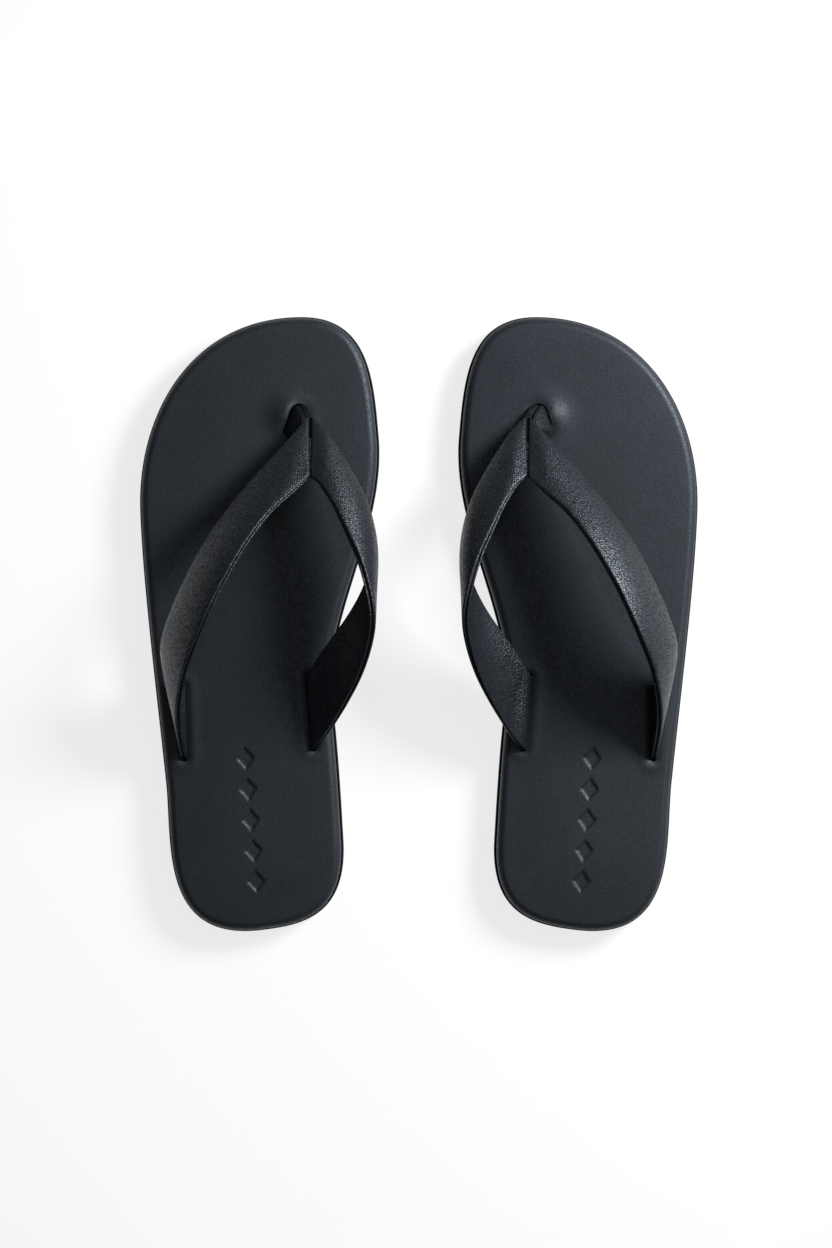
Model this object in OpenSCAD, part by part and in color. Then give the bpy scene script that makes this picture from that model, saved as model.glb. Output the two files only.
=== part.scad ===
// A pair of leather thong sandals. Each shoe is a stacked sole with two straps that leave
// slots beside the heel, cross over the foot and meet in a seam behind a toe post.
// X runs across the pair, Y from heel to toe, Z up. The ground is at z = 0.
// The right shoe is drawn about its own centre line; the left shoe is its mirror image.

/* [Pair] */
// Distance from the middle of the pair to each shoe's centre line
shoe_offset = 67.5; // [60:0.5:90]
// Length of each sole
sole_l = 260; // [240:1:275]

/* [Sole layers] */
// Thickness of the rubber outsole
outsole_t = 4; // [3:0.5:6]
// Thickness of the foam midsole
midsole_t = 5.5; // [5:0.5:10]
// Thickness of the stiff insole board
board_t = 1.5; // [1:0.5:2]
// Thickness of the soft pad under the foot
pad_t = 1.8; // [1.5:0.1:3]
// Thickness of the leather cover
cover_t = 1.2; // [1:0.1:1.5]
// How far the outsole's rim stands out past the cover
rim_w = 1; // [0.5:0.1:2]
// Radius of the cover's rolled top edge
edge_r = 4.5; // [3.5:0.1:5]
// Depth of the grooves in the tread
tread_depth = 1.2; // [0.5:0.1:2]
// Distance between two grooves of the tread
tread_pitch = 10; // [8:1:14]

/* [Flex line] */
// Place of the toe hinge along the shoe, at the ball of the foot
flex_y = 40; // [35:1:45]
// Gap between the front and the rear half of each layer
flex_gap = 0.3; // [0.2:0.1:0.5]

/* [Straps] */
// Thickness of the outer leather of a strap
strap_leather_t = 1.2; // [1:0.1:1.3]
// Thickness of the tape between leather and lining
strap_core_t = 0.5; // [0.4:0.1:0.6]
// Thickness of the lining
strap_lining_t = 0.9; // [0.8:0.1:1]
// Clear space between the layers of a strap
layer_gap = 0.08; // [0.05:0.01:0.1]
// How far the middle of a strap stands out above its edges
strap_crown = 1.4; // [0.5:0.1:2]
// How far a strap's tail reaches inward under the board
tail_l = 12; // [10:1:14]

/* [Toe post] */
// Radius of the cord inside the post
post_core_r = 2.2; // [2:0.1:2.4]
// Half the width of the leather around the cord
post_wrap_r = 3.8; // [3.5:0.1:4]
// Radius of the disc that holds the post under the board
anchor_r = 9; // [8:0.5:10]

/* [Hidden] */
size_k = sole_l / 260;

// The halves of the sole: behind and ahead of the flex line
REAR = -1;
FRONT = 1;

// Heights of the layers' upper faces
z_outsole = outsole_t;
z_midsole = z_outsole + midsole_t;
z_board = z_midsole + board_t;
z_pad = z_board + pad_t;
z_top = z_pad + cover_t;

// Knots of the outline, clockwise from the toe: x, y, heading in degrees, and the length
// of the curve's handle before and after the knot
OUTLINE = [
    [-18, 130, 0, 29, 47],
    [50.5, 48, -92, 41, 31],
    [39.5, -67.5, -96, 39, 25],
    [-1, -129.6, 173, 44, 18],
    [-35.5, -90.5, 86, 33, 6],
    [-31, -33.5, 83, 23, 36],
    [-50.5, 79.5, 85, 40, 23],
];
outline_steps = 10;
// Insets of the layers inside the cover, where the pad stops short of the rolled edge
inner_inset = rim_w + cover_t;
pad_inset = rim_w + 0.7 * edge_r;
tread_border = 8;
groove_w = 2.2;

// Edges of the straps from the seam to the slot, as x, y and height above the footbed.
// The front edge is the one nearer the toes, the rear edge the one nearer the ankle. The last
// point is at the mouth of the slot.
LATERAL_FRONT = [
    [-20.9, 87, 6.5], [-13, 77.5, 12], [4, 58.5, 18], [14.5, 45, 21], [22.5, 33, 23],
    [30, 18.5, 24], [36, 5, 22], [39.8, -6, 17.5], [40.4, -14, 11.5], [38.4, -19.5, 5.5],
    [35, -23.8, 2.5], [33.5, -25.3, 0.3],
];
LATERAL_REAR = [
    [-21.8, 61.5, 22], [-15.5, 55.5, 25.5], [-5.5, 46.5, 30.5], [4, 34, 36], [13, 18.6, 40],
    [19.5, 5.5, 41.5], [25, -7, 39.5], [29.5, -18, 34.5], [32.5, -29, 26.5], [34, -39, 17.5],
    [33.6, -48.5, 8.5], [32.5, -57, 0.3],
];
MEDIAL_FRONT = [
    [-23, 87, 6.5], [-30.1, 79.5, 11], [-39, 65.5, 15.5], [-45.5, 53, 17.5],
    [-49.4, 40, 17.5], [-50.4, 27, 16], [-46.5, 15, 13.5], [-41, 5, 10.5], [-34, -4.5, 7],
    [-28.5, -11.5, 4.2], [-24.3, -18, 2.2], [-22.3, -21.2, 0.3],
];
MEDIAL_REAR = [
    [-23, 61.5, 22], [-27, 58, 24.5], [-32.3, 50.5, 28.5], [-38, 39.5, 33],
    [-43.7, 27.5, 36.5], [-47.6, 15.5, 38], [-49.8, 3, 37], [-48.6, -8, 32],
    [-44.6, -20.5, 25], [-38.5, -32.5, 16.5], [-31, -44.5, 7], [-25, -52.8, 0.3],
];
strap_steps = 2;
// The step of the strap at which the tape and lining begin behind the seam
seam_start = 1;
core_near = strap_leather_t + layer_gap;
lining_near = core_near + strap_core_t + layer_gap;
strap_t = lining_near + strap_lining_t;
// Share of the strap's width that the tape leaves free at each edge
core_trim = 0.1;

// Slots in the cover: front end, rear end and half width
LATERAL_SLOT = [[32, -24], [31, -59]];
MEDIAL_SLOT = [[-20.9, -20], [-23.2, -55]];
slot_r = 2.2;
pocket_clearance = 0.5;
TACK_Y = [-32, -41, -50];
tack_r = 0.6;
tack_head_r = 1.8;
tack_head_t = 0.5;
tack_l = 4.2;

// The toe hole and the post that fills it: two centres, front and rear
POST_FRONT = [-17.5, 88];
POST_REAR = [-17.5, 83.5];
post_top = z_top + 3;
hole_clearance = 0.3;
anchor_t = 1.8;

// Row of debossed lozenges along the heel
lozenge_count = 5;
lozenge_l = 9;
lozenge_w = 7;
lozenge_pitch = 13;
lozenge_depth = 0.5;
LOZENGE_CENTRE = [3.2, -82.4];
lozenge_tilt = -5;

seam_stitch_count = 5;
stitch_r = 0.35;
stitch_l = 2.6;

leather_colour = [0.16, 0.17, 0.19];
lining_colour = [0.28, 0.29, 0.32];
tape_colour = [0.75, 0.74, 0.7];
rubber_colour = [0.07, 0.07, 0.08];
foam_colour = [0.35, 0.36, 0.38];
pad_colour = [0.55, 0.55, 0.52];
board_colour = [0.62, 0.5, 0.36];
steel_colour = [0.7, 0.7, 0.72];
nylon_colour = [0.12, 0.12, 0.13];

// ---- curves ----

function unit(v) = v / norm(v);

function bezier(a, b, c, d, t) =
    pow(1 - t, 3) * a + 3 * pow(1 - t, 2) * t * b + 3 * (1 - t) * t * t * c + t * t * t * d;

function bezier_slope(a, b, c, d, t) =
    3 * pow(1 - t, 2) * (b - a) + 6 * (1 - t) * t * (c - b) + 3 * t * t * (d - c);

function heading(knot) = [cos(knot[2]), sin(knot[2])];

// The outline, moved inward by inset
function ring(inset) = [
    for (i = [0:len(OUTLINE) - 1])
        let (from = OUTLINE[i], to = OUTLINE[(i + 1) % len(OUTLINE)],
             a = [from[0], from[1]], d = [to[0], to[1]],
             b = a + from[4] * heading(from), c = d - to[3] * heading(to))
            for (s = [0:outline_steps - 1])
                let (t = s / outline_steps, p = bezier(a, b, c, d, t),
                     slope = unit(bezier_slope(a, b, c, d, t)))
                    size_k * p + inset * [slope[1], -slope[0]],
];

// The part of a ring on one side of the line y = cut: ahead of it, or behind it
function clipped(points, cut, half) = [
    for (i = [0:len(points) - 1])
        let (a = points[i], b = points[(i + 1) % len(points)],
             a_side = half * (a[1] - cut), b_side = half * (b[1] - cut),
             crossing = a + (b - a) * (cut - a[1]) / (b[1] - a[1]))
            each concat(a_side > 0 ? [a] : [], a_side * b_side < 0 ? [crossing] : []),
];

// The outline of one half of a sole layer, which reaches past its end of the half by extra
function half_ring(inset, half, extra = 0) =
    clipped(ring(inset), flex_y + half * (flex_gap / 2 - extra), half);

// A smooth curve through points, where u counts points from the first one
function through(points, u) =
    let (last = len(points) - 1, i = min(floor(u), last - 1), s = u - i,
         a = points[max(i - 1, 0)], b = points[i],
         c = points[i + 1], d = points[min(i + 2, last)])
        0.5 * (2 * b + (c - a) * s + (2 * a - 5 * b + 4 * c - d) * s * s
               + (3 * b - a - 3 * c + d) * s * s * s);

function in_place(p) = [size_k * p[0], size_k * p[1], z_top + p[2]];

// ---- solids from rings ----

// Faces between neighbouring rings of n points. From point turn on, the quads are split along
// the other diagonal, so that the two faces of a twisted strap stay parallel.
function loft_sides(n, count, turn) = [
    for (k = [0:count - 2], i = [0:n - 1])
        let (j = (i + 1) % n, low = k * n, high = (k + 1) * n)
            each i < turn
                ? [[low + i, low + j, high + j], [low + i, high + j, high + i]]
                : [[low + i, low + j, high + i], [low + j, high + j, high + i]],
];

function flipped(faces) = [for (f = faces) [for (i = [len(f) - 1:-1:0]) f[i]]];

// A flat end as one face, and the end of a strap as a strip between its two faces
function whole_end(n) = [[for (i = [0:n - 1]) i]];
function strip_end(n) = [
    for (i = [0:n / 2 - 2]) each [[i, i + 1, n - 2 - i], [i, n - 2 - i, n - 1 - i]],
];

// A closed solid through rings of equal length, from the first ring to the last. Each ring
// runs clockwise as seen from the last one, and end holds the faces that close a ring.
module loft(rings, end, turn) {
    n = len(rings[0]);
    top = [for (f = end) [for (i = f) i + (len(rings) - 1) * n]];
    polyhedron([for (r = rings) each r],
               concat(flipped(end), top, loft_sides(n, len(rings), turn)), convexity = 6);
}

// A layer with a shaped edge: each level is an inset and a height, from the lowest up
module layer(levels, half) {
    rings = [for (level = levels) [for (p = half_ring(level[0], half)) [p[0], p[1], level[1]]]];
    n = len(rings[0]);
    loft(rings, whole_end(n), n);
}

// A layer with a straight edge
module sheet(inset, from, to, half, extra = 0) {
    translate([0, 0, from]) linear_extrude(to - from) polygon(half_ring(inset, half, extra));
}

// Levels of a rolled edge of the given radius that ends at height top
function rolled(inset, radius, top) = [
    for (a = [0:22.5:90]) [inset + radius * (1 - cos(a)), top - radius * (1 - sin(a))],
];

// A vertical hole with round ends from a to b
module long_hole(a, b, r, from, to) {
    hull() for (p = [a, b])
        translate([size_k * p[0], size_k * p[1], from]) cylinder(r = r, h = to - from, $fn = 32);
}

module strap_slots(from, to) {
    long_hole(LATERAL_SLOT[0], LATERAL_SLOT[1], slot_r, from, to);
    long_hole(MEDIAL_SLOT[0], MEDIAL_SLOT[1], slot_r, from, to);
}

module toe_hole(from, to, clearance = hole_clearance) {
    long_hole(POST_FRONT, POST_REAR, post_wrap_r + clearance, from, to);
}

// ---- sole layers ----

module tread_grooves() {
    count = floor(sole_l / tread_pitch);
    translate([0, 0, -1]) linear_extrude(1 + tread_depth) intersection() {
        polygon(ring(tread_border));
        for (i = [1:count - 1])
            translate([-60, i * tread_pitch - sole_l / 2]) square([120, groove_w]);
    }
}

module outsole(half) {
    color(rubber_colour) difference() {
        sheet(0, 0, z_outsole, half);
        tread_grooves();
    }
}

// Room in the midsole for a strap's tail
module tail_pocket(front, rear, side) {
    last = len(front) - 1;
    depth = strap_leather_t + layer_gap + pocket_clearance;
    f = size_k * [front[last][0], front[last][1]] + [side, 1] * pocket_clearance;
    r = size_k * [rear[last][0], rear[last][1]] + [side, -1] * pocket_clearance;
    reach = [side * (tail_l + 2 * pocket_clearance), 0];
    translate([0, 0, z_midsole - depth])
        linear_extrude(depth + 1) polygon([f, r, r - reach, f - reach]);
}

module midsole(half) {
    color(foam_colour) difference() {
        sheet(inner_inset, z_outsole, z_midsole, half);
        if (half == REAR) {
            tail_pocket(LATERAL_FRONT, LATERAL_REAR, 1);
            tail_pocket(MEDIAL_FRONT, MEDIAL_REAR, -1);
        } else {
            translate([post_x, post_y, z_midsole - anchor_t - pocket_clearance])
                cylinder(r = anchor_r + hole_clearance, h = anchor_t + 3, $fn = 64);
        }
    }
}

// The holes through the layers above the midsole
module openings(half, from, to) {
    if (half == REAR) strap_slots(from, to);
    else toe_hole(from, to);
}

module board(half) {
    color(board_colour) difference() {
        sheet(inner_inset, z_midsole, z_board, half);
        openings(half, z_midsole - 1, z_board + 1);
    }
}

module pad(half) {
    color(pad_colour) difference() {
        sheet(pad_inset, z_board, z_pad, half);
        openings(half, z_board - 1, z_pad + 1);
    }
}

module lozenge() {
    polygon([[0, -lozenge_l / 2], [lozenge_w / 2, 0], [0, lozenge_l / 2], [-lozenge_w / 2, 0]]);
}

module heel_lozenges() {
    translate([size_k * LOZENGE_CENTRE[0], size_k * LOZENGE_CENTRE[1], z_top - lozenge_depth])
        rotate([0, 0, lozenge_tilt])
            for (i = [0:lozenge_count - 1])
                translate([0, (i - (lozenge_count - 1) / 2) * lozenge_pitch, 0])
                    linear_extrude(2) lozenge();
}

module cover(half) {
    color(leather_colour) difference() {
        layer(concat([[rim_w, z_outsole]], rolled(rim_w, edge_r, z_top)), half);
        sheet(inner_inset, z_outsole - 1, z_board, half, 1);
        sheet(pad_inset, z_board - 1, z_pad, half, 1);
        openings(half, z_pad - 1, z_top + 1);
        if (half == REAR) heel_lozenges();
    }
}

// ---- straps ----

// An edge's points, carried on straight down to the underside of the board
function down_slot(points) =
    let (mouth = points[len(points) - 1])
        concat(points, [[mouth[0], mouth[1], z_midsole + layer_gap - z_top]]);

// Points across a strap, as shares of its width, and how much of the crown each has: flat in
// the middle third and falling straight to both edges
ACROSS = [0, core_trim, 1 / 3, 2 / 3, 1 - core_trim, 1];
function crown_share(w) = 3 * min(w, 1 - w, 1 / 3);

// A loop along the points of one face and back along those of the other
function band(face, back) = concat(face, [for (i = [len(back) - 1:-1:0]) back[i]]);

// One cross-section of a strap layer between the depths near and far under its outer face.
// side is 1 for the lateral strap and -1 for the medial one, and trim narrows the layer. The
// crown fades out toward the seam and the slot's mouth.
function strap_section(front, rear, u, side, near, far, trim) =
    let (last = len(front) - 1, e = 0.05,
         lo = max(u - e, 0), hi = min(u + e, last),
         f = in_place(through(front, u)), r = in_place(through(rear, u)),
         along = through(front, hi) - through(front, lo)
                 + through(rear, hi) - through(rear, lo),
         chord = r - f, out = side * unit(cross(chord, along)),
         fade = max(0, min(1, u, last - 1 - u)),
         row = [for (w = ACROSS) if (w >= trim && w <= 1 - trim)
             f + w * chord + crown_share(w) * strap_crown * fade * out])
        band([for (p = row) p - near * out], [for (p = row) p - far * out]);

function strap_sections(front, rear, side, near, far, trim, from) =
    let (f = down_slot(front), r = down_slot(rear))
        [for (i = [from:(len(f) - 1) * strap_steps])
            strap_section(f, r, i / strap_steps, side, near, far, trim)];

// Sections of the leather's tail, which folds inward under the board
function tail_sections(front, rear, side) =
    let (last = len(front) - 1, z = z_midsole - layer_gap - strap_leather_t,
         f = size_k * [front[last][0], front[last][1]],
         r = size_k * [rear[last][0], rear[last][1]],
         row = [for (w = ACROSS) let (p = f + (r - f) * w) [p[0], p[1], z]],
         under = [-side * strap_leather_t, 0, strap_leather_t],
         fold = band(row, [for (p = row) p + under]))
        [fold, [for (p = fold) p - [side * (tail_l - strap_leather_t), 0, 0]]];

module strap_loft(sections, side) {
    n = len(sections[0]);
    loft(side < 0 ? sections : flipped(sections), strip_end(n), n / 2);
}

module strap_leather(front, rear, side) {
    color(leather_colour)
        strap_loft(concat(strap_sections(front, rear, side, 0, strap_leather_t, 0, 0),
                          tail_sections(front, rear, side)), side);
}

module strap_core(front, rear, side) {
    color(tape_colour)
        strap_loft(strap_sections(front, rear, side, core_near, core_near + strap_core_t,
                                  core_trim, seam_start), side);
}

module strap_lining(front, rear, side) {
    color(lining_colour)
        strap_loft(strap_sections(front, rear, side, lining_near, strap_t, 0, seam_start), side);
}

// ---- small pieces ----

// Threads that join the two straps under the seam
module seam_stitches() {
    a = in_place((LATERAL_FRONT[0] + MEDIAL_FRONT[0]) / 2);
    b = in_place((LATERAL_REAR[0] + MEDIAL_REAR[0]) / 2);
    color(nylon_colour) for (i = [1:seam_stitch_count])
        translate(a + (b - a) * i / (seam_stitch_count + 1) - [stitch_l / 2, 0, 0.7])
            rotate([0, 90, 0]) cylinder(r = stitch_r, h = stitch_l, $fn = 16);
}

module tack() {
    translate([0, 0, z_board]) cylinder(r = tack_head_r, h = tack_head_t, $fn = 32);
    translate([0, 0, z_board - tack_l]) cylinder(r = tack_r, h = tack_l, $fn = 24);
}

module strap_tacks() {
    color(steel_colour) for (y = TACK_Y) {
        translate([size_k * (LATERAL_SLOT[0][0] - tail_l / 2 - 1), size_k * y, 0]) tack();
        translate([size_k * (MEDIAL_SLOT[0][0] + tail_l / 2), size_k * y, 0]) tack();
    }
}

post_y = size_k * (POST_FRONT[1] + POST_REAR[1]) / 2;
post_x = size_k * POST_FRONT[0];

module post_bore(from, to) {
    translate([post_x, post_y, from]) cylinder(r = post_core_r, h = to - from, $fn = 48);
}

module toe_post_wrap() {
    color(leather_colour) difference() {
        toe_hole(z_midsole, post_top, 0);
        post_bore(z_midsole - 1, post_top + 1);
    }
}

module toe_post_core() {
    color(nylon_colour) post_bore(z_midsole - anchor_t, post_top);
}

module toe_post_anchor() {
    color(nylon_colour) difference() {
        translate([post_x, post_y, z_midsole - anchor_t])
            cylinder(r = anchor_r, h = anchor_t, $fn = 64);
        post_bore(z_midsole - anchor_t - 1, z_midsole + 1);
    }
}

// ---- the two shoes ----

module shoe(side) {
    if (side == "right") translate([shoe_offset, 0, 0]) children();
    else mirror([1, 0, 0]) translate([shoe_offset, 0, 0]) children();
}

for (side = ["right", "left"]) shoe(side) {
    outsole(REAR);
    midsole(REAR);
    board(REAR);
    pad(REAR);
    cover(REAR);
    outsole(FRONT);
    midsole(FRONT);
    board(FRONT);
    pad(FRONT);
    cover(FRONT);
    strap_leather(LATERAL_FRONT, LATERAL_REAR, 1);
    strap_core(LATERAL_FRONT, LATERAL_REAR, 1);
    strap_lining(LATERAL_FRONT, LATERAL_REAR, 1);
    strap_leather(MEDIAL_FRONT, MEDIAL_REAR, -1);
    strap_core(MEDIAL_FRONT, MEDIAL_REAR, -1);
    strap_lining(MEDIAL_FRONT, MEDIAL_REAR, -1);
    seam_stitches();
    strap_tacks();
    toe_post_wrap();
    toe_post_core();
    toe_post_anchor();
}
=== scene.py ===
"""A pair of black leather flip flops on a pale studio floor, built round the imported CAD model.

Lengths are in millimetres until a piece is made, because the frame is in metres. Every piece is
drawn for the right shoe about that shoe's own centre line, with x to the outer side, y to the toe
and z up from the floor, and is mirrored for the left shoe. Heights in the tables of straps and
toe post are above the footbed.
"""
import math

import bmesh
import bpy
import numpy as np
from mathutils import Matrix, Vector
from mathutils.geometry import delaunay_2d_cdt


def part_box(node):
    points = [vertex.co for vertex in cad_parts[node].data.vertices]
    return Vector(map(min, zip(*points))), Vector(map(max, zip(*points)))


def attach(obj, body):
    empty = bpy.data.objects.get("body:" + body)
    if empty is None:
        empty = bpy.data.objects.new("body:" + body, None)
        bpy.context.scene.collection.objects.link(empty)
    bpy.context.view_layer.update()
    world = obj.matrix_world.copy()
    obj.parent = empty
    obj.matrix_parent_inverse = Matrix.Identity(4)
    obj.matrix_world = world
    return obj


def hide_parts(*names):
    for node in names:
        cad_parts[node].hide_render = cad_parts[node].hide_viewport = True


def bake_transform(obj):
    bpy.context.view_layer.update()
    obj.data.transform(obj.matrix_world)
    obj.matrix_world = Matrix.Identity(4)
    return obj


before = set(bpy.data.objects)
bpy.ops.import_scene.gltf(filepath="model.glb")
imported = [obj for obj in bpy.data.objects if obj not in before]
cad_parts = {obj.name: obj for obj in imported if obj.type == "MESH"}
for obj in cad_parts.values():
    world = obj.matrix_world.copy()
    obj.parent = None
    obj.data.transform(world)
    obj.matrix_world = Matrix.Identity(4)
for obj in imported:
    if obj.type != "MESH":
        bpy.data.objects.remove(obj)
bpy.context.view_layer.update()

MM = 0.001
SIDES = {"right": 1, "left": -1}

# ---------------------------------------------------------------- sizes

# Heights of the upper faces of the sole's layers, and of the footbed
Z_OUTSOLE, Z_MIDSOLE, Z_BOARD, Z_PAD, Z_TOP = (
    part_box(f"right_{layer}_front")[1][2] / MM
    for layer in ("outsole", "midsole", "board", "pad", "cover")
)

# The toe post's x about the shoe's own centre line, which places that line in the frame
POST_X = -17.5
SHOE_OFFSET = sum(corner[0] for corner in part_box("right_toe_post_core")) / 2 / MM - POST_X

# Knots of the outline, clockwise from the toe: x, y, heading in degrees, and the length of the
# curve's handle before and after the knot
OUTLINE = (
    (-18, 130, 0, 29, 47),
    (50.5, 48, -92, 41, 31),
    (39.5, -67.5, -96, 39, 25),
    (-1, -129.6, 173, 44, 18),
    (-35.5, -90.5, 86, 33, 6),
    (-31, -33.5, 83, 23, 36),
    (-50.5, 79.5, 85, 40, 23),
)
OUTLINE_STEP = 2.2

# The outsole's rim, the cover's rolled edge and thickness, the clearance between hidden layers,
# and how far inside the outline the pad ends
RIM_W = 1.0
EDGE_R = 3.6
COVER_T = 1.2
CLEARANCE = 0.05
PAD_INSET = 4.15
# Steps round the edges of the outsole, from its underside to its upper face inside the rim: inset
# from the outline, and height above the ground or above the outsole's upper face
OUTSOLE_FOOT = ((0.7, 0), (0.2, 0.2), (0, 0.7))
OUTSOLE_BEAD = (
    (0, -0.6), (0.12, -0.2), (0.42, 0), (0.72, -0.15), (0.95, -0.6), (1.35, -0.6), (1.7, 0),
)

# Grooves of the tread
TREAD_PITCH = 10
TREAD_DEPTH = 1.2
TREAD_BORDER = 8
GROOVE_HALF_W = 1.1
GROOVE_DRAFT = 0.3
WAVE_HEIGHT = 1.1
WAVE_LENGTH = 16

# Slots and toe hole through the footbed, which close round the straps and the toe post: two
# centres and a radius
SLOT_R = 1.65
TOE_HOLE_R = 4.2
HOLES = {
    "lateral": ((32.1, -26.4), (31.1, -56.3), SLOT_R),
    "medial": ((-20.95, -22.2), (-23.4, -51.9), SLOT_R),
    "toe": ((-17.3, 88.6), (-15.2, 82.2), TOE_HOLE_R),
}

# Shape of the footbed's surface: domed, drawn in at the holes, with soft puffs beside them. Each
# has a height and a width. The slots' puffs run at a distance from the slots' middle lines, and
# the toe hole's puff is round a point.
DOME_TOP = 0.3
DOME_DROP, DOME_WIDTH = 0.7, 30
SLOT_DIP, SLOT_DIP_W = 0.45, 1.1
SLOT_PUFF, SLOT_PUFF_AT, SLOT_PUFF_W = 0.3, 4.0, 2.4
TOE_DIP, TOE_DIP_W = 0.5, 1.3
TOE_PUFF, TOE_PUFF_AT, TOE_PUFF_W = 2.7, (-12.8, 87.5), 6.8

# Distances between points of the nets over the footbed, near its holes, on the lozenges, and over
# the hidden layers; and the distances from a hole's edge of the creases round it
NET_STEP, HOLE_STEP, LOZENGE_STEP, HIDDEN_STEP = 2.6, 1.3, 0.8, 4.0
HOLE_LOOP_STEP = 0.7
HOLE_REGION = 8
HOLE_CREASES = (0.5, 1.2, 2.4)

# Row of debossed lozenges on the heel
LOZENGES = 5
LOZENGE_L, LOZENGE_W = 9, 7
LOZENGE_PITCH = 13
LOZENGE_DEPTH = 0.6
LOZENGE_EDGE = 0.45
LOZENGE_CENTRE = (3.2, -82.4)
LOZENGE_TILT = -5

# Edges of the straps from the seam to the slot's mouth: x, y and height above the footbed. The
# front edge is the one nearer the toes.
STRAPS = {
    "lateral": {
        "side": 1,
        "front": (
            (-20.9, 87, 6.5), (-13, 77.5, 12), (4, 58.5, 18), (14.5, 45, 21), (22.5, 33, 23),
            (30, 18.5, 24), (36, 5, 22), (39.8, -6, 17.5), (40.4, -14, 11.5),
            (38.4, -19.5, 5.5), (35, -23.8, 2.5), (33.5, -25.3, 0.3),
        ),
        "rear": (
            (-21.8, 61.5, 22), (-15.5, 55.5, 25.5), (-5.5, 46.5, 30.5), (4, 34, 36),
            (13, 18.6, 40), (19.5, 5.5, 41.5), (25, -7, 39.5), (29.5, -18, 34.5),
            (32.5, -29, 26.5), (34, -39, 17.5), (33.6, -48.5, 8.5), (32.5, -57, 0.3),
        ),
    },
    "medial": {
        "side": -1,
        "front": (
            (-23, 87, 6.5), (-30.1, 79.5, 11), (-39, 65.5, 15.5), (-45.5, 53, 17.5),
            (-49.4, 40, 17.5), (-50.4, 27, 16), (-46.5, 15, 13.5), (-41, 5, 10.5),
            (-34, -4.5, 7), (-28.5, -11.5, 4.2), (-24.3, -18, 2.2), (-22.3, -21.2, 0.3),
        ),
        "rear": (
            (-23, 61.5, 22), (-27, 58, 24.5), (-32.3, 50.5, 28.5), (-38, 39.5, 33),
            (-43.7, 27.5, 36.5), (-47.6, 15.5, 38), (-49.8, 3, 37), (-48.6, -8, 32),
            (-44.6, -20.5, 25), (-38.5, -32.5, 16.5), (-31, -44.5, 7), (-25, -52.8, 0.3),
        ),
    },
}
# Stations from one point of the edges to the next, the crown across the strap, where the roll into
# the seam starts, the fold's radius, and the lengths of the flap in the seam and of the glued tail
STRAP_STEPS = 10
STRAP_CROWN = 1.4
SEAM_ROLL_START = 0.08
FOLD_R = 1.3
SEAM_FLAP = 2.0
TAIL_L = 12
TAIL_POCKET_DEPTH = 1.7
TAIL_SPARE, TAIL_SPARE_SIDE, TAIL_SPARE_END = 0.5, 0.6, 1.5
# Layers of a strap: depth of the near and far face, what it stops short of the strap's edges, and
# the point of the edges where it starts
LEATHER = {"near": 0, "far": 1.2, "trim": 0, "start": SEAM_ROLL_START}
TAPE = {"near": 1.28, "far": 1.78, "trim": 1.0, "start": 0.2}
LINING = {"near": 1.86, "far": 2.76, "trim": 0.15, "start": 0.2}

# Thread across the seam's flaps, below the fold
STITCHES = 5
STITCH_R = 0.35
STITCH_HALF_L = 2.1
STITCH_DEPTH = 2.6

# The leather round the toe post, from inside the hole to the seam: centre x and y, half length,
# half width, height, and how much it rises and slants outward toward the heel
POST_SECTIONS = (
    (-16.25, 85.4, 7.0, 3.7, -4.5, 0, 0.32),
    (-16.25, 85.4, 7.0, 3.7, -0.8, 0, 0.32),
    (-16.9, 85.4, 6.9, 3.3, 0.9, 0.1, 0.28),
    (-18.4, 85.3, 6.4, 2.5, 3.0, 0.3, 0.18),
    (-20.2, 84.6, 5.9, 2.0, 5.2, 0.45, 0.08),
    (-21.9, 82.9, 5.2, 1.5, 7.4, 0.6, 0),
)
POST_STEPS = 6
POST_POINTS = 48
POST_WRINKLES = 9
POST_WRINKLE_H = 0.16
# The hollow tongue on the outer flank of the post, with a rolled inner edge: its inner and outer
# edges from the front
TONGUE_STEPS = 6
TONGUE_T = 0.9
TONGUE_CROWN = -0.5
TONGUE_ROLL_R = 0.55
TONGUE_INNER = (
    (-16.8, 91.6, 1.2), (-17.9, 89.4, 3.4), (-19.1, 86.8, 5.6), (-19.4, 84.6, 6.8),
    (-18.7, 82.2, 6.8), (-16.9, 79.9, 5.2), (-15.0, 78.4, 3.2),
)
TONGUE_OUTER = (
    (-15.3, 91.6, -0.6), (-13.7, 88.9, -0.2), (-12.5, 85.6, 0), (-11.5, 82.8, 0.2),
    (-11.1, 80.8, 0.4), (-11.9, 79.0, 0.8), (-13.4, 78.0, 1.6),
)

# Where the sole bends, and where the straps do, along y
SOLE_BEND = (20, 60)
STRAP_BEND = (-20, 75)

# ---------------------------------------------------------------- curves


def smooth(t):
    """0 before 0, 1 after 1, and a smooth step between."""
    t = np.clip(t, 0, 1)
    return t * t * (3 - 2 * t)


def unit(vector):
    return vector / np.linalg.norm(vector)


def through(points, u):
    """A smooth curve through the points, where u counts points from the first."""
    points = np.asarray(points, float)
    last = len(points) - 1
    i = min(int(u), last - 1)
    s = u - i
    a, b, c, d = points[max(i - 1, 0)], points[i], points[i + 1], points[min(i + 2, last)]
    return 0.5 * (
        2 * b + (c - a) * s + (2 * a - 5 * b + 4 * c - d) * s**2
        + (3 * b - a - 3 * c + d) * s**3
    )


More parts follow.
